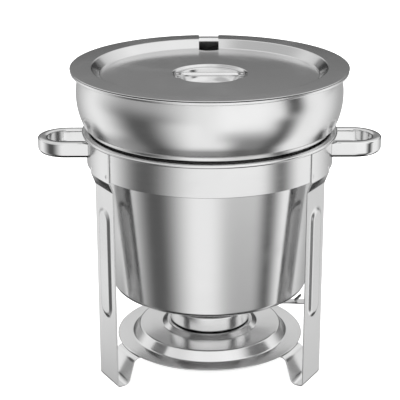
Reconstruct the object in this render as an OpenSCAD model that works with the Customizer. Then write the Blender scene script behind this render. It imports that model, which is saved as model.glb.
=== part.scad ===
// Soup chafing dish: stand with three strip legs, water pan, food pan, inset lid and fuel burner.
// Millimetres, +Z up, the feet stand on z = 0, the front of the dish faces -Y.
// Every sheet piece is a bent path of [x, z, bend radius] points with one wall thickness.

/* [Stand] */
// height of the ledge that carries the water pan
stand_h = 265.3; // [250:1:285]
// outer radius of the stand's band
band_r = 130; // [124:1:136]
// height of the band below the ledge
band_h = 35; // [28:1:42]
// wall of the band and its lip
band_wall = 1.2; // [1:0.1:1.6]
// how far the rounded lip stands out from the band
lip_out = 4.3; // [3.5:0.1:6]
// height of the rounded lip
lip_h = 3.7; // [3.4:0.1:5]

/* [Legs] */
// width of a strip leg
leg_w = 41; // [34:1:46]
// thickness of a strip leg
leg_t = 1.4; // [1.2:0.1:2]
// how far a leg's face lies inside the band
leg_in = 4.5; // [3:0.1:6]
// height of the joggle between the leg and its upper end
joggle_h = 11.8; // [9:0.1:16]
// height of the foot's tab top, where the fuel plate lies
tab_h = 29.7; // [24:0.1:36]
// width of the foot from the leg's face to the riser
foot_d = 13.6; // [11:0.1:18]
// half width of the pressed rib at its base
rib_w = 12.5; // [10:0.5:15]
// height of the rib above the leg's face
rib_h = 2; // [1.2:0.1:3]
// length of the rib
rib_l = 121; // [90:1:140]

/* [Stand handles] */
// reach of a handle beyond the band
grip_out = 51.5; // [42:0.5:60]
// half width of the handle loop
grip_half = 31; // [26:0.5:36]
// width of the handle's bar
grip_w = 10; // [8:0.5:12]
// height of the handle's bar
grip_h = 16.4; // [13:0.1:18]

/* [Pans] */
// sheet of the pans and the lid
sheet = 1; // [0.8:0.1:1.2]
// height of the water pan's bulged upper part above the ledge
bowl_h = 64.1; // [56:0.1:72]
// how far the bulge stands out from the band
bowl_out = 8.8; // [6:0.1:12]
// space between the damper and the water pan's floor
flame_gap = 25.8; // [20:0.2:34]
// lean of the bucket's and food pan's walls, degrees
taper = 4.3; // [3:0.1:5]
// how far the food pan's flange and the lid stand out over the water pan's rim
rim_over = 4.6; // [3.6:0.1:6]
// height of the food pan's turned-down edge
flange_h = 3.2; // [2.4:0.1:5]
// space between the food pan's collar and the water pan's rim
mouth_gap = 2.1; // [1:0.1:4]
// space between the two pans' floors
floor_gap = 12; // [8:1:20]

/* [Lid] */
// space between the lid's sunk wall and the food pan's mouth
lid_play = 8.9; // [6:0.1:12]
// depth of the lid's sunk top
lid_sink = 8.8; // [6:0.2:12]
// width of the ladle notch
notch_w = 22; // [16:1:28]
// radius of the finger dish
dish_r = 39.4; // [36:0.2:44]
// depth of the finger dish
dish_h = 14; // [11:0.5:18]
// width of the strap across the dish
strap_w = 11; // [8:0.5:13]

/* [Fuel burner] */
// gap between the legs' faces and the edge of the fuel plate
plate_in = 24.1; // [20:0.1:28]
// rise of the plate's broad step
step_h = 10.4; // [7:0.1:14]
// rise of the small step that carries the cup
seat_h = 4.1; // [2.6:0.1:6]
// outer radius of the fuel cup
cup_r = 43.2; // [38:0.1:46]
// height of the fuel cup
cup_h = 16.9; // [14:0.1:20]
// radius of the flame opening
flame_r = 21; // [16:0.5:24]
// length of the cover's handle beyond the cup
pull_l = 72.8; // [50:0.2:75]
// width of the cover's handle
pull_w = 11.7; // [9:0.1:14]
// length of the damper's lever beyond the cup
lever_l = 58.2; // [45:0.2:62]
// width of the damper's lever
lever_w = 7; // [5:0.1:9]
// height of the lever's upturned tip
tip_h = 7; // [4:0.1:9]

/* [Clearances] */
// seat gap between pieces that lift apart
seat_gap = 0.3; // [0.2:0.05:0.5]
// gap between a leg's curved end and the band it is spot-welded to
weld_gap = 0.1; // [0.05:0.01:0.2]
// radial clearance of the damper's pivot
pivot_gap = 0.05; // [0.03:0.01:0.09]

/* [Hidden] */
$fn = 96;
bend_step = 11;
steel = [0.78, 0.79, 0.8];
leg_face = band_r - leg_in;
leg_top = stand_h - lip_h - 0.8;
joggle_z = stand_h - band_h - 0.5;
rib_z = joggle_z - joggle_h - 21 - rib_l / 2;
grip_z = stand_h - 17.2;
neck_r = band_r - 7.8;
bucket_r = neck_r - 4.4;
pan_seat = stand_h + seat_gap;
pan_rim = stand_h + bowl_h;
apex_r = band_r + bowl_out + 4.1;
rim_r = apex_r - 3.5 + sheet + rim_over;
flange_top = pan_rim + seat_gap + sheet;
mouth_r = apex_r - 7.3 - 2 * sheet - mouth_gap;
well_r = mouth_r - lid_play;
body_r = bucket_r - sheet - 4.6;
lid_top = flange_top + seat_gap + sheet;
lid_floor = lid_top - lid_sink;
ledge_z = lid_floor - 2.2;
plate_r = leg_face - plate_in;
plate_wall = 1.5;
plate_top = tab_h + plate_wall + step_h;
seat_top = plate_top + seat_h;
cup_floor = seat_top + seat_gap;
cup_top = cup_floor + cup_h;
cover_t = 1.2;
cover_top = cup_top + seat_gap + cover_t;
pivot_x = (flame_r + cup_r) / 2;
pivot_r = 2;
damper_z = cover_top + seat_gap;
damper_t = 1;
pan_floor = damper_z + damper_t + flame_gap;
food_floor = pan_floor + floor_gap;
far = 400;

// which piece to build, or all of them

function unit(v) = v / norm(v);
function right_of(v) = unit([v[1], -v[0]]);
function flat(p) = [p[0], p[1]];

// points of an arc about c, from angle a through sweep, finer on a large radius
function arc(c, r, a, sweep) =
    let (n = max(3, ceil(abs(sweep) / bend_step * (r > 20 ? 3 : 1))))
    [for (i = [0:n]) c + r * [cos(a + sweep * i / n), sin(a + sweep * i / n)]];

// arc of radius r that rounds corner c between its neighbours p and n
function bend(p, c, n, r) =
    let (
        u = unit(p - c),
        v = unit(n - c),
        half = acos(u * v) / 2,
        centre = c + unit(u + v) * r / sin(half),
        s = c + u * r / tan(half) - centre,
        e = c + v * r / tan(half) - centre,
        a = atan2(s[1], s[0]),
        raw = atan2(e[1], e[0]) - a,
        sweep = raw > 180 ? raw - 360 : raw < -180 ? raw + 360 : raw
    )
    arc(centre, r, a, sweep);

// path with every [x, z, radius] corner bent to its radius
function bent(pts) =
    [for (k = [0:len(pts) - 1])
        each (k == 0 || k == len(pts) - 1
            ? [flat(pts[k])]
            : bend(flat(pts[k - 1]), flat(pts[k]), flat(pts[k + 1]), pts[k][2]))];

// the same path moved sideways by t, to the right when t is positive
function moved(path, t) =
    [for (k = [0:len(path) - 1])
        let (
            a = right_of(k == 0 ? path[1] - path[0] : path[k] - path[k - 1]),
            b = k == len(path) - 1 ? a : right_of(path[k + 1] - path[k]),
            m = unit(a + b)
        )
        path[k] + m * t / (m * a)];

// closed outline of a sheet of thickness t lying along a bent path
function wall(pts, t) =
    let (path = bent(pts), back = moved(path, t), n = len(back) - 1)
    concat(path, [for (k = [0:n]) back[n - k]]);

// radius of a leaning wall dz below its top radius
function lean(r, dz) = r - dz * tan(taper);

module spun(pts, t) {
    rotate_extrude() polygon(wall(pts, t));
}

// strip of width w whose side view is a bent path in x and z
module strip(pts, t, w) {
    rotate([90, 0, 0])
        linear_extrude(height = w, center = true)
            polygon(wall(pts, t));
}

// pressed lid: flat rim, sunk top, finger dish and ladle notch
module lid() {
    color(steel)
        difference() {
            spun([
                [rim_r, lid_top, 0],
                [well_r, lid_top, 2.5],
                [well_r - lid_sink * 0.95, lid_floor, 3],
                [dish_r, lid_floor, 1.3],
                [dish_r - 1.8, ledge_z, 1],
                [dish_r - 7.2, ledge_z, 1.6],
                [dish_r - 13.9, ledge_z - dish_h, 11],
                [0, ledge_z - dish_h, 0]
            ], -sheet);
            ladle_notch();
        }
}

// slot through the rim and the sunk wall, with a rounded inner end
module ladle_notch() {
    end_r = notch_w * 0.73;
    end_y = rim_r - 42.5;
    intersection() {
        translate([-notch_w / 2, 0, lid_floor - 6])
            cube([notch_w, far, lid_sink + 12]);
        union() {
            translate([0, end_y + end_r, lid_floor - 6])
                cylinder(h = lid_sink + 12, r = end_r);
            translate([-notch_w, end_y + end_r, lid_floor - 6])
                cube([2 * notch_w, far, lid_sink + 12]);
        }
    }
}

// crown pressed into the strap, drawn in by g
module strap_crown(g) {
    crown_r = strap_w * 0.64;
    reach = dish_r - 13.4;
    translate([0, 0, ledge_z + 3 - crown_r]) {
        rotate([0, 90, 0])
            cylinder(h = 2 * reach, r = crown_r - g, center = true);
        for (end = [-1, 1])
            translate([end * reach, 0, 0])
                sphere(r = crown_r - g);
    }
}

// strap across the finger dish, crowned in the middle, with wider spot-welded ends
module lid_strap() {
    tab_r = dish_r - 2.8;
    strap_t = 1.4;
    color(steel)
        difference() {
            union() {
                intersection() {
                    translate([0, 0, ledge_z])
                        cylinder(h = strap_t, r = tab_r);
                    union() {
                        translate([-far / 2, -strap_w / 2, ledge_z])
                            cube([far, strap_w, strap_t]);
                        for (side = [-1, 1])
                            translate([side * (tab_r + 1), 0, ledge_z])
                                cylinder(h = strap_t, r = strap_w * 0.68);
                    }
                }
                intersection() {
                    strap_crown(0);
                    translate([-far / 2, -strap_w / 2, ledge_z])
                        cube([far, strap_w, 10]);
                }
            }
            strap_crown(strap_t);
            for (side = [-1, 1])
                translate([side * (tab_r - 3), 0, ledge_z + strap_t + 2.4])
                    sphere(r = 3);
        }
}

// inset pan: turned-down flange, collar, shoulder and leaning body
module food_pan() {
    shoulder_z = flange_top - 40;
    floor_r = lean(body_r, shoulder_z - food_floor);
    color(steel)
        spun([
            [rim_r - 0.5, flange_top - flange_h, 0],
            [rim_r - 0.5, flange_top, 1.6],
            [mouth_r, flange_top, 3.5],
            [mouth_r, flange_top - 24, 8],
            [body_r, shoulder_z, 9],
            [floor_r, food_floor, 12],
            [0, food_floor, 0]
        ], -sheet);
}

// one drawn pan: rolled rim, bulge, neck that sits on the ledge, leaning bucket
module water_pan() {
    apex_z = stand_h + bowl_h * 0.5475;
    ledge = stand_h + 3;
    floor_r = lean(bucket_r, pan_seat - pan_floor);
    color(steel)
        spun([
            [apex_r - 3.5, pan_rim - 2.7, 0],
            [apex_r - 3.5, pan_rim - sheet, 0.6],
            [apex_r - 7.3, pan_rim - sheet, 1.4],
            [apex_r, apex_z, bowl_h * 1.12],
            [band_r + 1.2, ledge, 6],
            [neck_r, ledge, 1],
            [neck_r, pan_seat, 1.2],
            [bucket_r, pan_seat, 1.5],
            [floor_r, pan_floor, 6],
            [0, pan_floor, 0]
        ], sheet);
}

// band, rounded lip folded outwards and back, ledge with a turned-down inner edge
module stand_ring() {
    lip_z = stand_h - lip_h;
    lip_bend = lip_h * 0.43;
    color(steel)
        spun([
            [band_r, stand_h - band_h, 0],
            [band_r, lip_z, 1],
            [band_r + lip_out, lip_z, lip_bend],
            [band_r + lip_out, stand_h - 0.4, lip_bend],
            [band_r - 1, stand_h, 4],
            [neck_r - 3.4, stand_h, 2],
            [neck_r - 3.4, stand_h - 6.5, 0]
        ], -band_wall);
}

// everything within a leg's outer surface, drawn in by g
module leg_core(g) {
    top_r = band_r + weld_gap + leg_t;
    rise = joggle_h / (leg_in + leg_t);
    side = moved(bent([
        [leg_face, 40 - g, 0],
        [leg_face, joggle_z - joggle_h, 2.5],
        [top_r + 40, joggle_z + 40 * rise, 0]
    ]), -g);
    intersection() {
        translate([0, 0, 40 - g])
            cylinder(h = leg_top + 2 * g - 40, r = top_r - g);
        rotate([90, 0, 0])
            linear_extrude(height = leg_w + 2 * g, center = true)
                polygon(concat([[0, 40 - g]], side, [[0, joggle_z + 40 * rise]]));
    }
}

// pressed rib on a face at x, with leaning sides and round ends
module rib(x) {
    skirt = 0.5;
    run = (rib_w - 7.5) / rib_h;
    reach = rib_l / 2 - rib_w;
    base = rib_w + skirt * run;
    for (end = [-1, 1])
        translate([x - skirt, 0, rib_z + end * reach])
            rotate([0, 90, 0])
                cylinder(h = rib_h + skirt, r1 = base, r2 = 7.5);
    translate([0, 0, rib_z - reach])
        linear_extrude(height = 2 * reach)
            polygon([[x - skirt, -base], [x - skirt, base], [x + rib_h, 7.5], [x + rib_h, -7.5]]);
}

// strip leg: upper end curved to the band, joggle, rib, and foot bent back to a tab
module leg(turn) {
    weld_turn = 7.2;
    foot_z = tab_h - leg_t;
    rotate([0, 0, turn])
        difference() {
            union() {
                intersection() {
                    difference() {
                        leg_core(0);
                        leg_core(leg_t);
                    }
                    translate([leg_face - 20, -leg_w / 2, 40])
                        cube([60, leg_w, far]);
                }
                strip([
                    [leg_face, 42, 0],
                    [leg_face, 0, 3.6],
                    [leg_face - foot_d, 0, 8],
                    [leg_face - foot_d - foot_z * 0.3, foot_z, 7],
                    [plate_r - 14, foot_z, 0]
                ], leg_t, leg_w);
                rib(leg_face);
            }
            rib(leg_face - leg_t);
            for (side = [-1, 1])
                rotate([0, 0, side * weld_turn])
                    translate([band_r + leg_t + 2.5, 0, stand_h - 29.3])
                        sphere(r = 3);
        }
}

module leg_left() {
    color(steel) leg(210);
}

module leg_right() {
    color(steel) leg(330);
}

module leg_rear() {
    color(steel) leg(90);
}

// rounded bar section, drawn in by g
module grip_section(g) {
    corner = 2.6;
    r = corner - g;
    a = grip_w / 2 - corner;
    b = grip_h / 2 - corner;
    for (x = [-a, a])
        for (y = [-b, b])
            translate([x, y])
                circle(r = r);
    square([2 * a, 2 * (b + r)], center = true);
    square([2 * (a + r), 2 * b], center = true);
}

// two straight bars and a half-round end, drawn in by g
module grip_loop(g) {
    mid_r = grip_half - grip_w / 2;
    end_x = band_r + grip_out - grip_half;
    translate([end_x, 0, grip_z])
        rotate([0, 0, -90])
            rotate_extrude(angle = 180)
                translate([mid_r, 0])
                    grip_section(g);
    for (side = [-1, 1])
        translate([band_r - 12, side * mid_r, grip_z])
            rotate([90, 0, 90])
                linear_extrude(height = end_x - band_r + 12)
                    grip_section(g);
}

// bent oval tube welded to the band by both ends
module grip(turn) {
    rotate([0, 0, turn])
        difference() {
            grip_loop(0);
            grip_loop(1.2);
            cylinder(h = far, r = band_r);
        }
}

module handle_left() {
    color(steel) grip(180);
}

module handle_right() {
    color(steel) grip(0);
}

// stepped plate on the three tabs
module fuel_plate() {
    color(steel)
        spun([
            [plate_r, tab_h + plate_wall, 0],
            [plate_r - 17.2, tab_h + plate_wall, 3],
            [plate_r - 24.2, plate_top, 2.5],
            [cup_r + 9, plate_top, 2],
            [cup_r + 3.4, seat_top, 2],
            [0, seat_top, 0]
        ], -plate_wall);
}

// shallow drawn cup that stands on the plate
module fuel_cup() {
    color(steel)
        spun([
            [cup_r, cup_top, 0],
            [cup_r, cup_floor, 3],
            [0, cup_floor, 0]
        ], sheet);
}

// lid of the burner: skirt, flame opening and a handle in one piece
module burner_cover() {
    color(steel)
        difference() {
            union() {
                spun([
                    [cup_r + 2.4, cup_top - 1.6, 0],
                    [cup_r + 2.4, cover_top, 1.6],
                    [flame_r, cover_top, 0]
                ], -cover_t);
                translate([cup_r, -pull_w / 2, cover_top - cover_t])
                    cube([pull_l - pull_w / 2, pull_w, cover_t]);
                translate([cup_r + pull_l - pull_w / 2, 0, cover_top - cover_t])
                    cylinder(h = cover_t, r = pull_w / 2);
            }
            translate([pivot_x, 0, 0])
                cylinder(h = far, r = pivot_r + pivot_gap);
        }
}

// damper disc with a long lever and an upturned tip
module damper() {
    tip_x = cup_r + lever_l;
    color(steel)
        difference() {
            union() {
                translate([0, 0, damper_z])
                    cylinder(h = damper_t, r = flame_r + 3.5);
                translate([pivot_x, 0, damper_z])
                    cylinder(h = damper_t, r = 6);
                intersection() {
                    strip([
                        [flame_r, damper_z, 0],
                        [tip_x - tip_h * 1.05, damper_z, 2],
                        [tip_x, damper_z + tip_h, 0]
                    ], -damper_t, lever_w);
                    union() {
                        translate([0, -lever_w / 2, 0])
                            cube([tip_x - lever_w / 2, lever_w, far]);
                        translate([tip_x - lever_w / 2, 0, 0])
                            cylinder(h = far, r = lever_w / 2);
                    }
                }
            }
            translate([pivot_x, 0, 0])
                cylinder(h = far, r = pivot_r + pivot_gap);
        }
}

// rivet with a head above the damper and one under the cover
module damper_rivet() {
    head_h = 1.3;
    low = cover_top - cover_t;
    high = damper_z + damper_t + 0.2;
    color(steel)
        translate([pivot_x, 0, 0])
            union() {
                translate([0, 0, low - head_h])
                    cylinder(h = head_h, r = 3.8);
                translate([0, 0, low - 0.5])
                    cylinder(h = high - low + 1, r = pivot_r);
                translate([0, 0, high])
                    cylinder(h = head_h, r1 = 3.8, r2 = 2.6);
            }
}

lid();
lid_strap();
food_pan();
water_pan();
stand_ring();
leg_left();
leg_right();
leg_rear();
handle_left();
handle_right();
fuel_plate();
fuel_cup();
burner_cover();
damper();
damper_rivet();
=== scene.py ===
"""Round soup chafing dish: stand, two pans, inset lid and fuel burner, dressed for a studio picture."""

import logging
import math
from collections.abc import Iterable, Sequence
from dataclasses import dataclass
from enum import Enum
from functools import cache, cached_property

import bmesh
import bpy
import numpy as np
from bpy.types import Material, Node, NodeSocket, NodeTree, Object
from mathutils import Matrix, Vector


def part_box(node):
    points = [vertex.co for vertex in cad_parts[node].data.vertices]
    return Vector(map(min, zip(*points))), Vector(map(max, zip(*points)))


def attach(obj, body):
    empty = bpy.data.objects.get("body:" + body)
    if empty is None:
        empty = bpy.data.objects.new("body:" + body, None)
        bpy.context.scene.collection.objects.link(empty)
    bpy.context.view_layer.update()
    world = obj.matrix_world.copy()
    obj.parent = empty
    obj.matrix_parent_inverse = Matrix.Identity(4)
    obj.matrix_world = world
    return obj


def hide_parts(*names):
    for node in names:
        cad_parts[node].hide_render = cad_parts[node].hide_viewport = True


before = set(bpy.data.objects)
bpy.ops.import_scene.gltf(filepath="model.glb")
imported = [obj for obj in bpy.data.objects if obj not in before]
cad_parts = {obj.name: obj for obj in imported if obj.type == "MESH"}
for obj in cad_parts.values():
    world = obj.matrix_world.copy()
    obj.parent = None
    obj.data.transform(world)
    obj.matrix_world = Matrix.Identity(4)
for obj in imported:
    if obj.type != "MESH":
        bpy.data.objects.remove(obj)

log = logging.getLogger("soup_chafer")

MM = 0.001
MICROMETRE = 1e-6
TINY = 1e-6
IMAGE_PX = 400
FINE_SIDES = 192
LARGE_BEND = 15
FINE_STEP = math.radians(2.0)
COARSE_STEP = math.radians(7.5)
EDGE_STEPS = 6

Array = np.ndarray
Bend = tuple[float, float, float]
Colour = tuple[float, float, float]
Source = NodeSocket | float | tuple[float, ...]


class Grain(Enum):
    """Which way the polishing lines of a piece of steel run."""

    ROUND = "round grain"
    LENGTHWISE = "leg grain"
    BLASTED = "even grain"


def reach(node: str) -> float:
    """How far a node of the frame reaches along x, in millimetres."""
    return round(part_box(node)[1].x / MM, 1)


def top(node: str) -> float:
    """Height of a node's highest point in millimetres."""
    return round(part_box(node)[1].z / MM, 1)


def foot(node: str) -> float:
    """Height of a node's lowest point in millimetres."""
    return round(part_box(node)[0].z / MM, 1)


# Sheet metal


def arc_points(centre: Array, radius: float, start: float, sweep: float) -> list[Array]:
    """Points of an arc, finer on a large radius.

    Args:
        centre: Centre of the arc.
        radius: Its radius in millimetres.
        start: Angle of the first point in radians.
        sweep: Angle that it turns through in radians.

    Returns:
        The points, both ends included.
    """
    step = FINE_STEP if radius > LARGE_BEND else COARSE_STEP
    count = max(3, math.ceil(abs(sweep) / step))
    angles = [start + sweep * i / count for i in range(count + 1)]
    return [centre + radius * np.array([math.cos(a), math.sin(a)]) for a in angles]


def round_corner(before: Array, corner: Array, after: Array, radius: float) -> list[Array]:
    """Rounds one corner of a path.

    Args:
        before: Neighbour in front of the corner.
        corner: The corner itself.
        after: Neighbour behind it.
        radius: Radius of the bend in millimetres.

    Returns:
        Points of the bend that takes the corner's place.
    """
    u = (before - corner) / np.linalg.norm(before - corner)
    v = (after - corner) / np.linalg.norm(after - corner)
    half = math.acos(max(-1.0, min(1.0, float(u @ v)))) / 2
    middle = (u + v) / np.linalg.norm(u + v)
    centre = corner + middle * radius / math.sin(half)
    first = corner + u * radius / math.tan(half) - centre
    last = corner + v * radius / math.tan(half) - centre
    start = math.atan2(first[1], first[0])
    sweep = math.atan2(last[1], last[0]) - start
    sweep = (sweep + math.pi) % (2 * math.pi) - math.pi
    return arc_points(centre, radius, start, sweep)


def bent(bends: Sequence[Bend]) -> Array:
    """Path of a sheet with every corner bent to its radius.

    Args:
        bends: Corners as (x, z, radius); the first and last radius isn't used.

    Returns:
        The path's points as an array of (x, z).
    """
    corners = [np.array(b[:2], float) for b in bends]
    path = [corners[0]]
    for k in range(1, len(corners) - 1):
        path += round_corner(corners[k - 1], corners[k], corners[k + 1], bends[k][2])
    path.append(corners[-1])
    return np.array(path)


def beside(path: Array, distance: float) -> Array:
    """The same path moved sideways.

    Args:
        path: Points of the path.
        distance: How far it moves, to its right when positive.

    Returns:
        The moved points.
    """
    run = np.diff(path, axis=0)
    run /= np.linalg.norm(run, axis=1)[:, None]
    right = np.stack([run[:, 1], -run[:, 0]], axis=1)
    before = np.vstack([right[:1], right])
    after = np.vstack([right, right[-1:]])
    middle = before + after
    middle /= np.linalg.norm(middle, axis=1)[:, None]
    stretch = (middle * before).sum(axis=1)[:, None]
    return path + middle * distance / stretch


def half_round(start: Array, end: Array, outwards: Array) -> Array:
    """Half circle that closes a sheet's edge from one face to the other.

    Args:
        start: End of the first face.
        end: End of the second face.
        outwards: Direction in which the edge stands out.

    Returns:
        The points between the two faces.
    """
    centre = (start + end) / 2
    spoke = (start - end) / 2
    nose = outwards / np.linalg.norm(outwards) * np.linalg.norm(spoke)
    angles = np.linspace(0, math.pi, EDGE_STEPS + 1)[1:-1]
    return np.array([centre + spoke * math.cos(a) + nose * math.sin(a) for a in angles])


def sheet_outline(bends: Sequence[Bend], thickness: float) -> Array:
    """Closed outline of a bent sheet with rounded free edges.

    Args:
        bends: Corners of its leading face as (x, z, radius).
        thickness: Thickness, to the right of the path when positive.

    Returns:
        Outline points; it starts and ends on the axis if the sheet does.
    """
    path = bent(bends)
    pull = abs(thickness) / 2
    head = (path[0] - path[1]) / np.linalg.norm(path[0] - path[1])
    tail = (path[-1] - path[-2]) / np.linalg.norm(path[-1] - path[-2])
    on_axis = path[-1][0] < TINY
    path[0] = path[0] - head * pull
    if not on_axis:
        path[-1] = path[-1] - tail * pull
    back = beside(path, thickness)[::-1]
    rim = half_round(back[-1], path[0], head)
    if on_axis:
        return np.vstack([back[:1] * [0, 1], back[1:], rim, path[:-1], path[-1:] * [0, 1]])
    return np.vstack([path, half_round(path[-1], back[0], tail), back, rim])


def new_object(name: str, verts: Array, faces: Iterable[Sequence[int]]) -> Object:
    """Object made of the given points, with its faces turned outwards.

    Args:
        name: Name of the piece.
        verts: Points in millimetres.
        faces: Point numbers of each face.

    Returns:
        The new object, linked to the scene.
    """
    mesh = bpy.data.meshes.new(name)
    mesh.from_pydata((np.asarray(verts) * MM).tolist(), [], [[int(k) for k in face] for face in faces])
    shell = bmesh.new()
    shell.from_mesh(mesh)
    bmesh.ops.recalc_face_normals(shell, faces=shell.faces)
    shell.to_mesh(mesh)
    shell.free()
    piece = bpy.data.objects.new(name, mesh)
    bpy.context.scene.collection.objects.link(piece)
    return piece


def smooth(piece: Object, sharp_deg: float = 38.0) -> Object:
    """Shades a piece smooth, with flat faces kept flat and sharp edges kept sharp.

    Args:
        piece: The piece to shade.
        sharp_deg: Edges that turn further than this stay sharp.

    Returns:
        The same piece.
    """
    piece.data.shade_smooth()
    piece.data.set_sharp_from_angle(angle=math.radians(sharp_deg))
    weigh = piece.modifiers.new("flat faces stay flat", "WEIGHTED_NORMAL")
    weigh.keep_sharp = True
    return piece


def patches(rows: int, cols: int, round_rows: bool, round_cols: bool) -> list[tuple[int, ...]]:
    """Faces of a grid of points that are numbered row by row.

    Args:
        rows: Number of rows.
        cols: Number of points in a row.
        round_rows: Whether the last row joins the first.
        round_cols: Whether the last point of a row joins its first.

    Returns:
        Point numbers of each face.
    """
    faces = []
    for i in range(rows if round_rows else rows - 1):
        here = i * cols
        there = (i + 1) % rows * cols
        for k in range(cols if round_cols else cols - 1):
            after = (k + 1) % cols
            faces.append((here + k, there + k, there + after, here + after))
    return faces


def spin(name: str, outline: Array, sides: int = 160) -> Object:
    """Turns an outline about the dish's axis.

    Args:
        name: Name of the piece.
        outline: Closed outline, or an open one that starts and ends on the axis.
        sides: Number of steps round the axis.

    Returns:
        The turned piece.
    """
    on_axis = outline[0][0] < TINY and outline[-1][0] < TINY
    ring = outline[1:-1] if on_axis else outline
    turn = np.arange(sides) * 2 * math.pi / sides
    x = np.outer(np.cos(turn), ring[:, 0])
    y = np.outer(np.sin(turn), ring[:, 0])
    z = np.tile(ring[:, 1], (sides, 1))
    verts = np.stack([x, y, z], axis=2).reshape(-1, 3)
    count = len(ring)
    faces = patches(sides, count, True, not on_axis)
    if on_axis:
        poles = np.array([[0, 0, outline[0][1]], [0, 0, outline[-1][1]]])
        verts = np.vstack([verts, poles])
        for s in range(sides):
            here = s * count
            there = (s + 1) % sides * count
            faces.append((sides * count, there, here))
            faces.append((sides * count + 1, here + count - 1, there + count - 1))
    return smooth(new_object(name, verts, faces))


def grid_shell(name: str, grid: Array, thickness: float, edge: float) -> Object:
    """Sheet of even thickness behind a grid of points, with rounded edges.

    Args:
        name: Name of the piece.
        grid: Points of the outer face, rows by columns.
        thickness: Thickness of the sheet.
        edge: Radius of its edges.

    Returns:
        The piece.
    """
    rows, cols = grid.shape[:2]
    along = np.gradient(grid, axis=0)
    across = np.gradient(grid, axis=1)
    normal = np.cross(along, across)
    normal /= np.linalg.norm(normal, axis=2)[:, :, None]
    verts = np.vstack([grid.reshape(-1, 3), (grid - normal * thickness).reshape(-1, 3)])
    back = rows * cols
    faces = patches(rows, cols, False, False)
    faces += [tuple(back + k for k in reversed(face)) for face in faces]
    index = np.arange(back).reshape(rows, cols)
    rim = [*index[0], *index[1:, -1], *index[-1, -2::-1], *index[-2:0:-1, 0]]
    for here, there in zip(rim, rim[1:] + rim[:1]):
        faces.append((here, there, back + there, back + here))
    piece = new_object(name, verts, faces)
    bevel = piece.modifiers.new("rounded edges", "BEVEL")
    bevel.width = edge * MM
    bevel.segments = 2
    bevel.limit_method = "ANGLE"
    bevel.angle_limit = math.radians(60)
    return smooth(piece, 50)


def smooth_min(a: Array, b: Array, blend: float) -> Array:
    """Lesser of two values, rounded where they meet.

    Args:
        a: First values.
        b: Second values.
        blend: How far apart the values may be where the rounding starts.

    Returns:
        The rounded lesser values.
    """
    share = np.clip(0.5 + 0.5 * (b - a) / blend, 0, 1)
    return b * (1 - share) + a * share - blend * share * (1 - share)


def ramp(value: Array, low: float, high: float, blend: float) -> Array:
    """Straight slope from 0 at low to 1 at high with rounded ends.

    Args:
        value: Values to look at.
        low: Where the slope starts.
        high: Where it ends.
        blend: How much of the slope each rounded end takes.

    Returns:
        Values from 0 to 1.
    """
    climb = (value - low) / (high - low)
    climb = -smooth_min(np.zeros_like(climb), -climb, blend)
    return smooth_min(climb, np.ones_like(climb), blend)


def smooth_step(value: Array, low: float, high: float) -> Array:
    """Soft step from 0 at low to 1 at high.

    Args:
        value: Values to look at.
        low: Where the step starts.
        high: Where it ends.

    Returns:
        Values from 0 to 1.
    """
    t = np.clip((value - low) / (high - low), 0, 1)
    return t * t * (3 - 2 * t)


# Finishes

# Near-black colour of the painted shade laid into seams, gaps and hollows.
PAINTED_SHADE_COLOUR: Colour = (0.05, 0.05, 0.05)
SMEAR_ROUGHNESS = 0.10
AXIS_GUARD = 0.0005
ROUND_STRETCH = 5.0
LENGTH_STRETCH = 22.0
DEPTH_STRETCH = 30.0
NEXT_LEG = 3.0
REAR_LEG = math.radians(90)
LEG_SPACING = math.radians(120)
MIX_INPUTS = (0, 6, 7)
MIX_RESULT = 2


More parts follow.
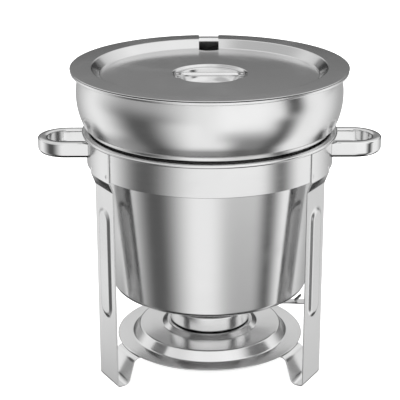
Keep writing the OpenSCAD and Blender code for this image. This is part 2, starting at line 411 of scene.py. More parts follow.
@dataclass(frozen=True)
class NodeDesk:
    """A node tree with short calls for the kinds of node that the finishes use."""

    tree: NodeTree

    def add(self, kind: str, *sources: Source, **settings: object) -> Node:
        """Adds a node.

        Args:
            kind: Type name of the node.
            *sources: What its inputs get, in their order.
            **settings: Properties to set on it.

        Returns:
            The node.
        """
        node = self.tree.nodes.new(kind)
        for key, value in settings.items():
            setattr(node, key, value)
        for socket, source in zip(node.inputs, sources):
            self.feed(socket, source)
        return node

    def feed(self, socket: NodeSocket, source: Source) -> None:
        """Links a socket, or sets it to a constant.

        Args:
            socket: Input socket.
            source: Output socket, number or tuple.
        """
        if isinstance(source, NodeSocket):
            self.tree.links.new(source, socket)
        else:
            socket.default_value = source

    def wire(self, node: Node, sources: dict[str, Source]) -> None:
        """Feeds a node's inputs by their names.

        Args:
            node: The node.
            sources: What each named input gets.
        """
        for key, source in sources.items():
            self.feed(node.inputs[key], source)

    def math(self, operation: str, *values: Source, clamp: bool = False) -> NodeSocket:
        """Math node.

        Args:
            operation: Name of the operation.
            *values: Its inputs.
            clamp: Whether the result stays within 0 and 1.

        Returns:
            The result's socket.
        """
        return self.add("ShaderNodeMath", *values, operation=operation, use_clamp=clamp).outputs[0]

    def spread(
        self, value: Source, low: float, high: float, to_low: float, to_high: float, soft: bool = False
    ) -> NodeSocket:
        """Maps a value from one range to another.

        Args:
            value: Value to map.
            low: Start of its range.
            high: End of its range.
            to_low: Result at the start.
            to_high: Result at the end.
            soft: Whether the step has soft ends.

        Returns:
            The result's socket.
        """
        form = "SMOOTHSTEP" if soft else "LINEAR"
        ends = (low, high, to_low, to_high)
        return self.add("ShaderNodeMapRange", value, *ends, interpolation_type=form).outputs[0]

    def band(self, value: Source, low: float, high: float, soft: float) -> NodeSocket:
        """Mask of a band of values, with soft edges.

        Args:
            value: Value to look at.
            low: Where the band starts.
            high: Where it ends.
            soft: Width of each soft edge.

        Returns:
            The mask's socket.
        """
        rise = self.spread(value, low - soft / 2, low + soft / 2, 0.0, 1.0, soft=True)
        fall = self.spread(value, high - soft / 2, high + soft / 2, 1.0, 0.0, soft=True)
        return self.math("MULTIPLY", rise, fall)

    def noise(self, vector: Source, scale: Source, detail: float, w: Source | None = None) -> NodeSocket:
        """Noise texture.

        Args:
            vector: Where to read it.
            scale: Its scale.
            detail: Number of finer layers.
            w: Fourth coordinate, if it has one.

        Returns:
            The noise's value socket.
        """
        node = self.add("ShaderNodeTexNoise", noise_dimensions="3D" if w is None else "4D")
        self.wire(node, {"Vector": vector, "Scale": scale, "Detail": detail})
        if w is not None:
            self.feed(node.inputs["W"], w)
        return node.outputs[0]

    def mix(self, factor: Source, a: Source, b: Source) -> NodeSocket:
        """Mixes two colours.

        Args:
            factor: Share of the second colour.
            a: First colour.
            b: Second colour.

        Returns:
            The mixed colour's socket.
        """
        node = self.add("ShaderNodeMix", data_type="RGBA")
        for number, source in zip(MIX_INPUTS, (factor, a, b)):
            self.feed(node.inputs[number], source)
        return node.outputs[MIX_RESULT]

    def parts(self, vector: Source) -> tuple[NodeSocket, ...]:
        """The x, y and z sockets of a vector."""
        return tuple(self.add("ShaderNodeSeparateXYZ", vector).outputs)

    def off_axis(self, x: Source, y: Source) -> NodeSocket:
        """Distance from the dish's axis."""
        return self.math("SQRT", self.math("ADD", self.math("MULTIPLY", x, x), self.math("MULTIPLY", y, y)))

    def joined(self, x: Source, y: Source, z: Source) -> NodeSocket:
        """The vector made of three values."""
        return self.add("ShaderNodeCombineXYZ", x, y, z).outputs[0]


def new_group(name: str, inputs: dict[str, float], outputs: Sequence[str]) -> tuple[NodeDesk, Node, Node]:
    """Empty shader node group with named number sockets.

    Args:
        name: Name of the group.
        inputs: Input names with their usual values.
        outputs: Output names.

    Returns:
        The desk to build on, the group's input node and its output node.
    """
    tree = bpy.data.node_groups.new(name, "ShaderNodeTree")
    for key, value in inputs.items():
        socket = tree.interface.new_socket(name=key, in_out="INPUT", socket_type="NodeSocketFloat")
        socket.default_value = value
    for key in outputs:
        tree.interface.new_socket(name=key, in_out="OUTPUT", socket_type="NodeSocketFloat")
    desk = NodeDesk(tree)
    return desk, desk.add("NodeGroupInput"), desk.add("NodeGroupOutput")


def grain_group(kind: Grain) -> tuple[NodeDesk, Node, Node]:
    """Empty group for polishing lines: their pitch and depth go in, their height and mask come out."""
    return new_group(kind.value, {"Lines per metre": 1400.0, "Depth": 1.0}, ("Height", "Mask"))


def grain_lines(desk: NodeDesk, entry: Node, end: Node, lines: Source, w: Source = 0.0) -> None:
    """Turns stretched coordinates into fine and broad polishing lines, and puts them out.

    Args:
        desk: Desk of the group.
        entry: Input node of the group.
        end: Output node of the group.
        lines: Coordinates, stretched along the lines.
        w: Fourth coordinate.
    """
    fine_share = 0.6
    broad_scale = 0.23
    fine = desk.math("MULTIPLY", desk.noise(lines, 1.0, 3.0, w), fine_share)
    broad = desk.math("MULTIPLY", desk.noise(lines, broad_scale, 2.0, w), 1 - fine_share)
    even = desk.spread(desk.math("ADD", fine, broad), 0.3, 0.7, 0.0, 1.0)
    desk.wire(end, {"Height": desk.math("MULTIPLY", even, entry.outputs["Depth"]), "Mask": even})


@cache
def round_grain() -> NodeTree:
    """Polishing lines that run round the dish's axis."""
    desk, entry, end = grain_group(Grain.ROUND)
    x, y, z = desk.parts(desk.add("ShaderNodeTexCoord").outputs["Object"])
    radius = desk.off_axis(x, y)
    pitch = entry.outputs["Lines per metre"]
    safe = desk.math("MAXIMUM", radius, AXIS_GUARD)
    east = desk.math("MULTIPLY", desk.math("DIVIDE", x, safe), ROUND_STRETCH)
    north = desk.math("MULTIPLY", desk.math("DIVIDE", y, safe), ROUND_STRETCH)
    lines = desk.joined(desk.math("MULTIPLY", radius, pitch), desk.math("MULTIPLY", z, pitch), east)
    grain_lines(desk, entry, end, lines, north)
    return desk.tree


@cache
def leg_grain() -> NodeTree:
    """Polishing lines that run along a strip leg, the same on all three legs."""
    desk, entry, end = grain_group(Grain.LENGTHWISE)
    x, y, z = desk.parts(desk.add("ShaderNodeTexCoord").outputs["Object"])
    turn = desk.math("SUBTRACT", desk.math("ARCTAN2", y, x), REAR_LEG)
    folded = desk.math("WRAP", turn, LEG_SPACING / 2, -LEG_SPACING / 2)
    radius = desk.off_axis(x, y)
    across = desk.math("MULTIPLY", radius, desk.math("SINE", folded))
    outwards = desk.math("MULTIPLY", radius, desk.math("COSINE", folded))
    pitch = entry.outputs["Lines per metre"]
    sideways = desk.math("MULTIPLY", across, pitch)
    along = desk.math("MULTIPLY", z, LENGTH_STRETCH)
    deep = desk.math("MULTIPLY", outwards, DEPTH_STRETCH)
    which = desk.math("MULTIPLY", turn, NEXT_LEG)
    grain_lines(desk, entry, end, desk.joined(sideways, along, deep), which)
    return desk.tree


@cache
def even_grain() -> NodeTree:
    """Fine even tooth of a polished or vapour-blasted piece, with no direction."""
    desk, entry, end = grain_group(Grain.BLASTED)
    place = desk.add("ShaderNodeTexCoord").outputs["Object"]
    scaled = desk.add("ShaderNodeVectorMath", place, operation="SCALE")
    desk.feed(scaled.inputs["Scale"], entry.outputs["Lines per metre"])
    grain_lines(desk, entry, end, scaled.outputs[0])
    return desk.tree


@cache
def handling_marks() -> NodeTree:
    """Cloudy wipe marks and small water spots that handling leaves on polished steel."""
    usual = {"Cloud scale": 14.0, "Spot scale": 90.0, "Amount": 0.5}
    desk, entry, end = new_group("handling marks", usual, ("Mask",))
    place = desk.add("ShaderNodeTexCoord").outputs["Object"]
    cloud = desk.noise(place, entry.outputs["Cloud scale"], 4.0)
    cloud.node.inputs["Distortion"].default_value = 0.6
    smear = desk.spread(cloud, 0.42, 0.72, 0.0, 1.0, soft=True)
    spots = desk.add("ShaderNodeTexVoronoi", feature="F1")
    desk.wire(spots, {"Vector": place, "Scale": entry.outputs["Spot scale"]})
    drop = desk.spread(spots.outputs["Distance"], 0.05, 0.16, 1.0, 0.0, soft=True)
    few = desk.math("GREATER_THAN", desk.parts(spots.outputs["Color"])[0], 0.86)
    both = desk.math("MAXIMUM", smear, desk.math("MULTIPLY", drop, few), clamp=True)
    desk.feed(end.inputs["Mask"], desk.math("MULTIPLY", both, entry.outputs["Amount"], clamp=True))
    return desk.tree


@cache
def painted_crevice_shade() -> NodeTree:
    """Painted shade that darkens seams, gaps and the undersides of folded edges, found by ambient occlusion.
    """
    desk, entry, end = new_group("painted crevice shade", {"Reach": 0.0035, "Amount": 1.0}, ("Mask",))
    shut = desk.add("ShaderNodeAmbientOcclusion", samples=12)
    desk.feed(shut.inputs["Distance"], entry.outputs["Reach"])
    depth = desk.spread(shut.outputs["AO"], 0.25, 0.75, 1.0, 0.0, soft=True)
    desk.feed(end.inputs["Mask"], desk.math("MULTIPLY", depth, entry.outputs["Amount"], clamp=True))
    return desk.tree


GRAINS = {Grain.ROUND: round_grain, Grain.LENGTHWISE: leg_grain, Grain.BLASTED: even_grain}


def new_material(name: str) -> tuple[Material, NodeDesk, Node]:
    """New material, the desk to build it on and its shader node."""
    made = bpy.data.materials.new(name)
    made.use_nodes = True
    desk = NodeDesk(made.node_tree)
    return made, desk, next(n for n in desk.tree.nodes if n.type == "BSDF_PRINCIPLED")


@dataclass(frozen=True)
class SteelFinish:
    """One finish of stainless steel.

    Attributes:
        slot: Name of the record's material slot.
        roughness: Roughness of the clean metal.
        grain: Direction of its polishing lines.
        clean: Colour of the clean metal.
        wiped: Colour where it was handled.
        pitch: Polishing lines per metre.
        relief_um: Height of the lines in micrometres.
        scatter: How much the lines add to the roughness.
        marks: Strength of wipe marks and water spots.
        cloud: Scale of the wipe marks.
        painted_shade: Strength of the painted shade in its seams and gaps.
        seam: How near other steel must be for the painted shade, in metres.
    """

    slot: str
    roughness: float
    grain: Grain
    clean: Colour = (0.80, 0.80, 0.80)
    wiped: Colour = (0.75, 0.75, 0.75)
    pitch: float = 1400.0
    relief_um: float = 1.5
    scatter: float = 0.05
    marks: float = 0.5
    cloud: float = 14.0
    # The next two fields set the painted shade in seams and gaps: its strength and its reach.
    painted_shade: float = 0.9
    seam: float = 0.0035

    @cached_property
    def material(self) -> Material:
        """The finish's material, built when it is first asked for."""
        made, desk, shader = new_material(f"{self.slot}_finish")
        lines = desk.add("ShaderNodeGroup", node_tree=GRAINS[self.grain]())
        desk.wire(lines, {"Lines per metre": self.pitch, "Depth": 1.0})
        marks = desk.add("ShaderNodeGroup", node_tree=handling_marks())
        desk.wire(marks, {"Cloud scale": self.cloud, "Amount": self.marks})
        # Painted shade: ambient occlusion marks the seams and gaps whose colour is darkened below.
        painted_shade = desk.add("ShaderNodeGroup", node_tree=painted_crevice_shade())
        desk.wire(painted_shade, {"Reach": self.seam, "Amount": self.painted_shade})
        bump = desk.add("ShaderNodeBump")
        desk.wire(bump, {"Distance": self.relief_um * MICROMETRE, "Height": lines.outputs["Height"]})
        worn = desk.math("MULTIPLY", lines.outputs["Mask"], self.scatter)
        smeared = desk.math("MULTIPLY", marks.outputs["Mask"], SMEAR_ROUGHNESS)
        rough = desk.math("ADD", desk.math("ADD", worn, smeared), self.roughness, clamp=True)
        handled = desk.mix(marks.outputs["Mask"], (*self.clean, 1), (*self.wiped, 1))
        # Painted shade: the colour goes towards near-black where other steel is near.
        colour = desk.mix(painted_shade.outputs["Mask"], handled, (*PAINTED_SHADE_COLOUR, 1))
        normal = bump.outputs[0]
        desk.wire(shader, {"Metallic": 1.0, "Roughness": rough, "Base Color": colour, "Normal": normal})
        return made


# Stand, leg and burner finishes get weaker painted shade in their seams and gaps than the rest.
LID_SATIN = SteelFinish(
    "lid_satin", 0.13, Grain.ROUND, (0.70, 0.70, 0.70), (0.66, 0.66, 0.66), relief_um=0.6, scatter=0.03
)
STRAP_STEEL = SteelFinish("strap_steel", 0.12, Grain.BLASTED)
PAN_STEEL = SteelFinish("pan_steel", 0.16, Grain.ROUND, relief_um=0.6, scatter=0.03)
STAND_STEEL = SteelFinish("stand_steel", 0.18, Grain.ROUND, relief_um=0.8, painted_shade=0.5)
LEG_STEEL = SteelFinish("leg_steel", 0.17, Grain.LENGTHWISE, pitch=1800, relief_um=0.7, painted_shade=0.4)
HANDLE_STEEL = SteelFinish("handle_steel", 0.06, Grain.BLASTED, relief_um=0.6, scatter=0.02, cloud=30)
PLATE_SATIN = SteelFinish(
    "plate_satin", 0.16, Grain.ROUND, (0.82, 0.82, 0.82), (0.78, 0.78, 0.78), scatter=0.06
)
BURNER_STEEL = SteelFinish("burner_steel", 0.14, Grain.ROUND, cloud=30, painted_shade=0.4)
RIVET_STEEL = SteelFinish("rivet_steel", 0.22, Grain.BLASTED, (0.74, 0.74, 0.74), (0.68, 0.68, 0.68))


def dress(piece: Object, finish: SteelFinish, body: str, node: str) -> None:
    """Gives a new piece its finish, hangs it on its body and lets it stand for a node.

    Args:
        piece: The piece.
        finish: Its finish.
        body: Body that carries it.
        node: Node of the frame that it replaces.
    """
    piece.data.materials.clear()
    piece.data.materials.append(finish.material)
    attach(piece, body)
    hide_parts(node)
    log.info("%s stands for %s, %d faces", piece.name, node, len(piece.data.polygons))


def dress_node(node: str, finish: SteelFinish) -> None:
    """Gives a node that keeps its own shape a better finish.

    Args:
        node: Name of the node.
        finish: Its finish.
    """
    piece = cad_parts[node]
    if not piece.material_slots:
        piece.data.materials.append(None)
    for slot in piece.material_slots:
        slot.link = "OBJECT"
        slot.material = finish.material
    log.info("%s keeps its shape in %s", node, finish.slot)


# The dish


@dataclass
class Lid:
    """Inset lid with a sunk top, a finger dish, a strap and a ladle notch. Millimetres."""

    rim_r: float = reach("lid")
    top_z: float = top("lid")
    well_r: float = 122.6
    sink: float = 8.8
    wall_lean: float = 0.95
    dish_r: float = 39.4
    dish_h: float = 14.0
    ledge_drop: float = 2.2
    ledge_start: float = 1.8
    ledge_end: float = 7.2
    bowl_in: float = 13.9
    notch_w: float = 22.0
    notch_l: float = 42.5
    notch_end: float = 0.73
    notch_steps: int = 24
    cutter_out: float = 20.0
    cutter_up: float = 6.0
    sheet: float = 1.0

    def outline(self) -> Array:
        """Outline of the pressed sheet: rim, sunk wall and floor, strap ledge and finger dish."""
        floor = self.top_z - self.sink
        ledge = floor - self.ledge_drop
        return sheet_outline(
            [
                (self.rim_r, self.top_z, 0),
                (self.well_r, self.top_z, 2.5),
                (self.well_r - self.sink * self.wall_lean, floor, 3),
                (self.dish_r, floor, 1.3),
                (self.dish_r - self.ledge_start, ledge, 1),
                (self.dish_r - self.ledge_end, ledge, 1.6),
                (self.dish_r - self.bowl_in, ledge - self.dish_h, 11),
                (0, ledge - self.dish_h, 0),
            ],
            -self.sheet,
        )

    def notch_cutter(self) -> Object:
        """Block in the shape of the ladle notch."""
        end_r = self.notch_w * self.notch_end
        end_y = self.rim_r - self.notch_l
        half = self.notch_w / 2
        swing = math.asin(half / end_r)
        angles = np.linspace(-math.pi / 2 - swing, -math.pi / 2 + swing, self.notch_steps + 1)
        rounded = [(end_r * math.cos(a), end_y + end_r + end_r * math.sin(a)) for a in angles]
        outside = self.rim_r + self.cutter_out
        outline = [(-half, outside), *rounded, (half, outside)]
        count = len(outline)
        low = self.top_z - self.sink - self.cutter_up
        high = self.top_z + self.cutter_up
        verts = [(x, y, low) for x, y in outline] + [(x, y, high) for x, y in outline]
        faces = patches(2, count, False, True)
        faces += [tuple(range(count)), tuple(range(count, 2 * count))]
        return new_object("notch_cutter", np.array(verts), faces)

    def build(self) -> None:
        """Builds the lid and dresses it and its strap."""
        lid = spin("lid_sheet", self.outline(), FINE_SIDES)
        cutter = self.notch_cutter()
        lid.modifiers.clear()
        cut = lid.modifiers.new("notch", "BOOLEAN")
        cut.object = cutter
        cut.operation = "DIFFERENCE"
        cut.solver = "EXACT"
        evaluated = lid.evaluated_get(bpy.context.evaluated_depsgraph_get())
        whole = lid.data
        lid.data = bpy.data.meshes.new_from_object(evaluated)
        lid.modifiers.clear()
        bpy.data.meshes.remove(whole)
        bpy.data.objects.remove(cutter)
        dress(smooth(lid), LID_SATIN, "lid", "lid")
        dress_node("lid_strap", STRAP_STEEL)


@dataclass
class Pans:
    """Food pan, and the water pan that carries it. Millimetres."""

    sheet: float = 1.0
    ledge_z: float = top("stand_ring")
    seat_gap: float = 0.3
    rim_z: float = top("water_pan")
    flange_z: float = top("food_pan")
    flange_h: float = 3.2
    floor_z: float = foot("water_pan")
    food_floor_z: float = foot("food_pan") + sheet
    flange_r: float = reach("food_pan")
    mouth_r: float = 131.5
    collar_h: float = 24.0
    shoulder_h: float = 16.0
    roll_in: float = 3.5
    roll_h: float = 2.7
    rim_w: float = 7.3
    apex_r: float = 142.9
    apex_z: float = 300.4
    bulge_bend: float = 71.8
    turn_r: float = 132.4
    turn_lift: float = 1.3
    seam_r: float = 127.5
    seam_flare: float = 0.3
    seam_lift: float = 1.7
    seam_h: float = 4.2
    neck_r: float = 122.2
    bucket_r: float = 117.8
    body_r: float = 112.2
    taper: float = 4.3

    def lean(self, radius: float, drop: float) -> float:
        """Radius of a leaning wall a given way below its top."""
        return radius - drop * math.tan(math.radians(self.taper))

    def food_outline(self) -> Array:
        """Outline of the food pan."""
        collar = self.flange_z - self.collar_h
        shoulder = collar - self.shoulder_h
        floor_r = self.lean(self.body_r, shoulder - self.food_floor_z)
        return sheet_outline(
            [
                (self.flange_r, self.flange_z - self.flange_h, 0),
                (self.flange_r, self.flange_z, 1.6),
                (self.mouth_r, self.flange_z, 3.5),
                (self.mouth_r, collar, 8),
                (self.body_r, shoulder, 9),
                (floor_r, self.food_floor_z, 12),
                (0, self.food_floor_z, 0),
            ],
            -self.sheet,
        )

    def water_outline(self) -> Array:
        """Outline of the water pan, from its rim over the bulge, the seam ring and the neck to its floor."""
        ledge = self.ledge_z + self.seam_lift
        seat = self.ledge_z + self.seat_gap
        floor_r = self.lean(self.bucket_r, seat - self.floor_z)
        return sheet_outline(
            [
                (self.apex_r - self.roll_in, self.rim_z - self.roll_h, 0),
                (self.apex_r - self.roll_in, self.rim_z - self.sheet, 0.6),
                (self.apex_r - self.rim_w, self.rim_z - self.sheet, 1.4),
                (self.apex_r, self.apex_z, self.bulge_bend),
                (self.turn_r, ledge + self.seam_h + self.turn_lift, 3),
                (self.seam_r + self.seam_flare, ledge + self.seam_h, 1),
                (self.seam_r, ledge, 1.2),
                (self.neck_r, ledge, 0.3),
                (self.neck_r, seat, 1.05),
                (self.bucket_r, seat, 1.5),
                (floor_r, self.floor_z, 6),
                (0, self.floor_z, 0),
            ],
            self.sheet,
        )

    def build(self) -> None:
        """Builds and dresses both pans."""
        dress(spin("food_pan_sheet", self.food_outline()), PAN_STEEL, "food_pan", "food_pan")
        water_pan = spin("water_pan_sheet", self.water_outline(), FINE_SIDES)
        dress(water_pan, PAN_STEEL, "water_pan", "water_pan")


@dataclass
class StripLeg:
    """One strip leg, shaped as a sheet of points before it is turned to its place. Millimetres.

    Each entry of rows gives the start, end and step of a run of heights, finer at the joggle and the rib.
    """

    name: str
    turn_deg: float
    face_r: float = 125.5
    band_r: float = 130.1
    width: float = 2 * reach("leg_rear")
    thick: float = 1.4
    edge: float = 0.4
    joggle_low: float = 218.6
    joggle_high: float = 229.6
    joggle_soft: float = 0.08
    tab_z: float = 28.3
    tab_lean: float = 0.3
    tab_bend: float = 7.0
    foot_d: float = 13.6
    foot_start: float = 40.0
    sole_bend: float = 3.6
    heel_bend: float = 8.0
    tab_r: float = 87.4
    rib_z: float = 136.5
    rib_half: float = 48.0
    rib_foot: float = 12.7
    rib_crest: float = 8.7
    rib_h: float = 2.3
    rib_soft: float = 0.15
    weld_z: float = 236.0
    weld_w: float = 16.5
    weld_r: float = 2.4
    weld_floor_r: float = 0.9
    weld_dip: float = 0.45
    columns: int = 57
    rows: tuple[tuple[float, float, float], ...] = (
        (top("leg_rear"), 242, 1.6),
        (241, 232, 0.75),
        (231.4, 217, 0.4),
        (216.5, 200, 2),
        (199, 73, 1.2),
        (72, 42, 5),
    )

    def standing(self, w: Array, z: Array) -> Array:
        """How far out the leg's face lies above its foot.

        Args:
            w: Distance across the leg.
            z: Height.

        Returns:
            Distance from the dish's axis plane.
        """
        welded = np.sqrt((self.band_r + self.thick) ** 2 - w**2)
        joggle = ramp(z, self.joggle_low, self.joggle_high, self.joggle_soft)
        face = self.face_r + (welded - self.face_r) * joggle
        beyond = np.maximum(np.abs(z - self.rib_z) - self.rib_half, 0)
        rib = self.rib_h * ramp(-np.hypot(w, beyond), -self.rib_foot, -self.rib_crest, self.rib_soft)
        near = np.hypot(np.abs(w) - self.weld_w, z - self.weld_z)
        weld = self.weld_dip * smooth_step(-near, -self.weld_r, -self.weld_floor_r)
        return face + rib - weld

    def grid(self) -> Array:
        """Points of the outer face, from the top down and back under the plate."""
        w = np.linspace(-self.width / 2, self.width / 2, self.columns)
        heights = np.concatenate([np.arange(start, end, -step) for start, end, step in self.rows])
        ww, zz = np.meshgrid(w, heights)
        upper = np.stack([self.standing(ww, zz), ww, zz], axis=2)
        foot_r = self.face_r - self.foot_d
        path = bent(
            [
                (self.face_r, self.foot_start, 0),
                (self.face_r, 0, self.sole_bend),
                (foot_r, 0, self.heel_bend),
                (foot_r - self.tab_z * self.tab_lean, self.tab_z, self.tab_bend),
                (self.tab_r, self.tab_z, 0),
            ]
        )
        lower = np.array([[(x, side, z) for side in w] for x, z in path])
        return np.concatenate([upper, lower])

    def build(self) -> None:
        """Builds the leg, turns it to its place and dresses it."""
        leg = grid_shell(f"{self.name}_strip", self.grid(), self.thick, self.edge)
        leg.data.transform(Matrix.Rotation(math.radians(self.turn_deg), 4, "Z"))
        dress(leg, LEG_STEEL, "stand", self.name)


@dataclass
class GripLoop:
    """Loop handle bent from oval tube and welded to the band by both ends. Millimetres."""

    name: str
    turn_deg: float
    band_r: float = 130.0
    tip_x: float = reach("handle_right")
    half: float = 31.0
    bar_w: float = 10.0
    foot_z: float = foot("handle_right")
    top_z: float = top("handle_right")
    corner: float = 1.8
    belly: float = 4.9
    crown: float = 26.0
    into_band: float = 4.0
    weld_gap: float = 0.05
    straight_steps: int = 8
    bend_steps: int = 40

    def section(self) -> Array:
        """Section of the tube with a crowned top and a round belly, as (sideways, up) points."""
        high = (self.top_z - self.foot_z) / 2
        side = self.bar_w / 2
        lean = math.asin((side - self.corner) / (self.crown - self.corner))
        shoulder = high - self.crown + (self.crown - self.corner) * math.cos(lean)
        quarter = math.pi / 2
        half = arc_points(np.array([side - self.belly, self.belly - high]), self.belly, -quarter, quarter)
        half += arc_points(np.array([side - self.corner, shoulder]), self.corner, 0, quarter - lean)
        half += arc_points(np.array([0.0, high - self.crown]), self.crown, quarter - lean, lean)[1:-1]
        right = np.array(half)
        return np.vstack([right, [[0.0, high]], right[::-1] * [-1, 1]])

    def route(self) -> list[tuple[Array, Array]]:
        """Middle line of the bar as (place, sideways) pairs."""
        mid = self.half - self.bar_w / 2
        end_x = self.tip_x - self.half
        straight = np.linspace(self.band_r - self.into_band, end_x, self.straight_steps + 1)[:-1]
        spots = [(np.array([x, -mid]), np.array([0.0, -1.0])) for x in straight]
        for a in np.linspace(-math.pi / 2, math.pi / 2, self.bend_steps + 1):
            out = np.array([math.cos(a), math.sin(a)])
            spots.append((np.array([end_x, 0.0]) + mid * out, out))
        spots += [(np.array([x, mid]), np.array([0.0, 1.0])) for x in reversed(straight)]
        return spots

    def build(self) -> None:
        """Builds the loop with its ends fitted to the band, and dresses it."""
        section = self.section()
        middle_z = (self.top_z + self.foot_z) / 2
        verts = []
        for place, sideways in self.route():
            for s, up in section:
                x, y = place + sideways * s
                x = max(x, math.sqrt(self.band_r**2 - y**2) + self.weld_gap)
                verts.append((x, y, middle_z + up))
        count = len(section)
        last = len(verts) - count
        faces = patches(len(verts) // count, count, False, True)
        faces += [tuple(range(count)), tuple(range(last, len(verts)))]
        loop = smooth(new_object(f"{self.name}_tube", np.array(verts), faces), 60)
        loop.data.transform(Matrix.Rotation(math.radians(self.turn_deg), 4, "Z"))
        dress(loop, HANDLE_STEEL, "stand", self.name)


@dataclass
class Stand:
    """Band with its rounded lip, three strip legs, two loop handles and the fuel plate. Millimetres."""

    height: float = top("stand_ring")
    band_foot: float = foot("stand_ring")
    band_r: float = 130.0
    wall: float = 1.2
    lip_out: float = 4.3
    lip_h: float = 3.7
    lip_bend: float = 0.43
    lip_crown: float = 0.4
    lip_in: float = 1.0
    inner_r: float = 118.8
    hem_h: float = 6.5
    plate_r: float = reach("fuel_plate")
    plate_foot: float = foot("fuel_plate")
    plate_wall: float = 1.5
    flat_w: float = 17.2
    riser_w: float = 7.0
    step_h: float = 10.4
    seat_h: float = 4.1
    seat_foot: float = 9.0
    seat_edge: float = 3.4
    cup_r: float = reach("fuel_cup")
    legs: tuple[tuple[str, float], ...] = (("leg_left", 210.0), ("leg_right", 330.0), ("leg_rear", 90.0))

    def band_outline(self) -> Array:
        """Outline of the band, its lip and the ledge that carries the water pan."""
        lip_z = self.height - self.lip_h
        bend = self.lip_h * self.lip_bend
        return sheet_outline(
            [
                (self.band_r, self.band_foot, 0),
                (self.band_r, lip_z, 1),
                (self.band_r + self.lip_out, lip_z, bend),
                (self.band_r + self.lip_out, self.height - self.lip_crown, bend),
                (self.band_r - self.lip_in, self.height, 4),
                (self.inner_r, self.height, 2),
                (self.inner_r, self.height - self.hem_h, 0),
            ],
            -self.wall,
        )

    def plate_outline(self) -> Array:
        """Outline of the stepped fuel plate."""
        edge = self.plate_foot + self.plate_wall
        step = edge + self.step_h
        return sheet_outline(
            [
                (self.plate_r, edge, 0),
                (self.plate_r - self.flat_w, edge, 3),
                (self.plate_r - self.flat_w - self.riser_w, step, 2.5),
                (self.cup_r + self.seat_foot, step, 2),
                (self.cup_r + self.seat_edge, step + self.seat_h, 2),
                (0, step + self.seat_h, 0),
            ],
            -self.plate_wall,
        )

    def build(self) -> None:
        """Builds and dresses every piece of the stand."""
        dress(spin("band_sheet", self.band_outline(), FINE_SIDES), STAND_STEEL, "stand", "stand_ring")
        for name, turn in self.legs:
            StripLeg(name, turn).build()
        GripLoop("handle_left", 180.0).build()
        GripLoop("handle_right", 0.0).build()
        dress(spin("fuel_plate_sheet", self.plate_outline()), PLATE_SATIN, "stand", "fuel_plate")


@dataclass
class Burner:
    """Fuel cup, its cover with a long handle, and the damper. Millimetres."""

    cup_r: float = reach("fuel_cup")
    cup_foot: float = foot("fuel_cup")
    cup_top: float = top("fuel_cup")
    sheet: float = 1.0

    def cup_outline(self) -> Array:
        """Outline of the drawn cup."""
        corners = [(self.cup_r, self.cup_top, 0), (self.cup_r, self.cup_foot, 3), (0, self.cup_foot, 0)]
        return sheet_outline(corners, self.sheet)

    def build(self) -> None:
        """Builds the cup and dresses the rest of the burner."""
        dress(spin("fuel_cup_sheet", self.cup_outline()), BURNER_STEEL, "fuel_cup", "fuel_cup")
        dress_node("burner_cover", BURNER_STEEL)
        dress_node("damper", BURNER_STEEL)
        dress_node("damper_rivet", RIVET_STEEL)


# Studio


def grey(level: float) -> tuple[float, ...]:
    """Opaque grey of a given brightness."""
    return (level, level, level, 1.0)


@dataclass(frozen=True)
class Screen:
    """A soft light or dark screen standing round the dish, seen as a part of the surroundings.

    Attributes:
        place: Where it stands, in words.
        azimuth: Middle of the screen in degrees, 0 towards the camera and positive to its right.
        half_width: Half its width in degrees.
        soft: Width of its soft side edges in degrees.
        low: Height of its lower edge in degrees above the horizon.
        high: Height of its upper edge.
        fade: Width of its soft upper and lower edges in degrees.
        level: Brightness of the screen.
    """

    place: str
    azimuth: float
    half_width: float
    soft: float
    low: float
    high: float
    fade: float
    level: float


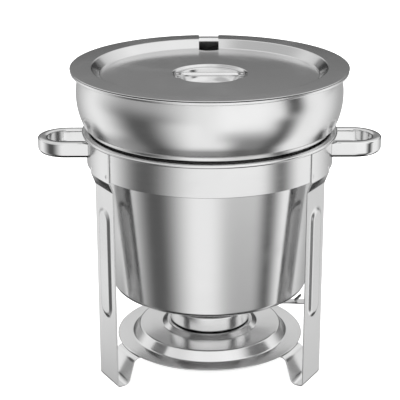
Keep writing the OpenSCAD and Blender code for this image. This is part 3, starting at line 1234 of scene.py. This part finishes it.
@dataclass
class Studio:
    """White room with grey and dark screens, a pale floor, a soft lamp and the camera. Metres.

    The room is dark straight below: under is its brightness there, and under_below the height in degrees
    where that starts. The camera's place and lens were fitted to the dish's circles in the picture.
    """

    room: float = 1.0
    under: float = 0.02
    under_below: float = -56.0
    under_soft: float = 12.0
    floor_radius: float = 14.0
    floor_z: float = -0.0001
    floor_glow: float = 0.8
    floor_sides: int = 64
    lamp_size: float = 2.2
    lamp_watts: float = 24.0
    lamp_place: tuple[float, float, float] = (-0.4, -0.3, 2.4)
    cam_distance: float = 1.3443
    cam_height: float = 0.6579
    cam_pitch: float = 19.45
    cam_azimuth: float = -0.5
    focal_px: float = 1325.9
    axis_px: float = 9.69
    sensor_mm: float = 36.0
    screens: tuple[Screen, ...] = (
        Screen("grey wall behind", 180, 52, 30, 2, 20, 4, 0.26),
        Screen("pale wall above it", 180, 40, 30, 20, 34, 6, 0.74),
        Screen("dark skirting behind", 175, 49, 48, -4, 12.7, 2, 0.05),
        Screen("grey ground behind", 175, 49, 48, -60, -4, 2, 0.45),
        Screen("bright ceiling, right", 75, 62, 50, 40, 82, 12, 1.15),
        Screen("pale ceiling, left", -92, 50, 40, 36, 78, 20, 0.64),
        Screen("grey wall, left", -61, 35, 54, -12, 21, 12, 0.44),
        Screen("grey ground, left", -112, 34, 30, -60, -36, 12, 0.42),
        Screen("dark edge of that ground", -137, 15, 8, -60, -26, 5, 0.25),
        Screen("dark ground, back left", -150, 26, 12, -60, -29, 3, 0.03),
        Screen("dark ground, back right", 150, 26, 12, -60, -29, 3, 0.03),
        Screen("dark wall and ground, left", -62, 26, 44, -90, -2, 26, 0.10),
        Screen("pale ground, right", 34, 23, 26, -40, -24.5, 8, 0.62),
        Screen("grey ground, right", 47, 27, 30, -90, -33, 16, 0.26),
        Screen("upper flag, right", 72, 12, 24, 20, 38, 10, 0.06),
        Screen("middle flag, right", 75, 9.5, 14, -10, 26, 14, 0.06),
        Screen("lower flag, right", 68, 10.5, 22, -90, -10, 14, 0.08),
        Screen("lit panel, front right", 30, 20, 16, -18, 18, 12, 1.1),
    )

    def surroundings(self) -> None:
        """Builds the room's light: white, with the screens round the dish."""
        world = bpy.data.worlds.new("studio")
        bpy.context.scene.world = world
        world.use_nodes = True
        desk = NodeDesk(world.node_tree)
        x, y, z = desk.parts(desk.add("ShaderNodeTexCoord").outputs["Generated"])
        azimuth = desk.math("DEGREES", desk.math("ARCTAN2", x, desk.math("MULTIPLY", y, -1.0)))
        height = desk.math("DEGREES", desk.math("ARCSINE", z))
        light: Source = grey(self.room)
        for screen in self.screens:
            turned = desk.math("WRAP", desk.math("SUBTRACT", azimuth, screen.azimuth), 180.0, -180.0)
            side = desk.band(turned, -screen.half_width, screen.half_width, screen.soft)
            tall = desk.band(height, screen.low, screen.high, screen.fade)
            light = desk.mix(desk.math("MULTIPLY", side, tall), light, grey(screen.level))
        edge = self.under_soft / 2
        below = desk.spread(height, self.under_below - edge, self.under_below + edge, 1.0, 0.0, soft=True)
        light = desk.mix(below, light, grey(self.under))
        seen = desk.add("ShaderNodeLightPath").outputs["Is Camera Ray"]
        back = next(n for n in desk.tree.nodes if n.type == "BACKGROUND")
        desk.feed(back.inputs["Color"], desk.mix(seen, light, grey(1.0)))

    def floor(self) -> None:
        """Pale floor that the feet stand on."""
        turn = np.arange(self.floor_sides) * 2 * math.pi / self.floor_sides
        radius = self.floor_radius / MM
        height = np.full(self.floor_sides, self.floor_z / MM)
        verts = np.stack([radius * np.cos(turn), radius * np.sin(turn), height], axis=1)
        floor = new_object("floor", verts, [range(self.floor_sides)])
        if floor.data.polygons[0].normal.z < 0:
            floor.data.flip_normals()
        made, desk, shader = new_material("pale_floor")
        tooth = desk.noise(desk.add("ShaderNodeTexCoord").outputs["Object"], 60.0, 3.0)
        colour = desk.mix(tooth, grey(0.86), grey(0.9))
        desk.wire(shader, {"Base Color": colour, "Roughness": 0.9, "Specular IOR Level": 0.0})
        desk.wire(shader, {"Emission Color": grey(1.0), "Emission Strength": self.floor_glow})
        floor.data.materials.append(made)
        floor.visible_glossy = False
        floor.visible_shadow = False

    def lamp(self) -> None:
        """Large soft lamp overhead that lights the floor and gives the dish its soft shadow."""
        data = bpy.data.lights.new("overhead softbox", "AREA")
        data.shape = "SQUARE"
        data.size = self.lamp_size
        data.energy = self.lamp_watts
        lamp = bpy.data.objects.new("overhead softbox", data)
        lamp.location = self.lamp_place
        lamp.rotation_euler = (-lamp.location).to_track_quat("-Z", "Y").to_euler()
        lamp.visible_glossy = False
        bpy.context.scene.collection.objects.link(lamp)

    def camera(self) -> None:
        """Camera at the photograph's place, turned the same way."""
        data = bpy.data.cameras.new("camera")
        data.sensor_width = self.sensor_mm
        data.lens = self.focal_px / IMAGE_PX * data.sensor_width
        data.shift_x = -self.axis_px / IMAGE_PX
        data.clip_start = 0.05
        data.clip_end = 60.0
        camera = bpy.data.objects.new("camera", data)
        turn = math.radians(self.cam_azimuth)
        camera.location = Matrix.Rotation(turn, 3, "Z") @ Vector((0, -self.cam_distance, self.cam_height))
        camera.rotation_euler = (math.radians(90 - self.cam_pitch), 0, turn)
        bpy.context.scene.collection.objects.link(camera)
        bpy.context.scene.camera = camera

    def build(self) -> None:
        """Builds the whole studio."""
        self.surroundings()
        self.floor()
        self.lamp()
        self.camera()
        bpy.context.scene.view_settings.view_transform = "Standard"
        log.info("studio with %d screens", len(self.screens))


def main() -> None:
    logging.basicConfig(level=logging.INFO, format="%(name)s: %(message)s")
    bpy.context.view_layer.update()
    for assembly in (Stand(), Pans(), Lid(), Burner(), Studio()):
        assembly.build()
        log.info("%s is built", type(assembly).__name__)


if __name__ == "__main__":
    main()
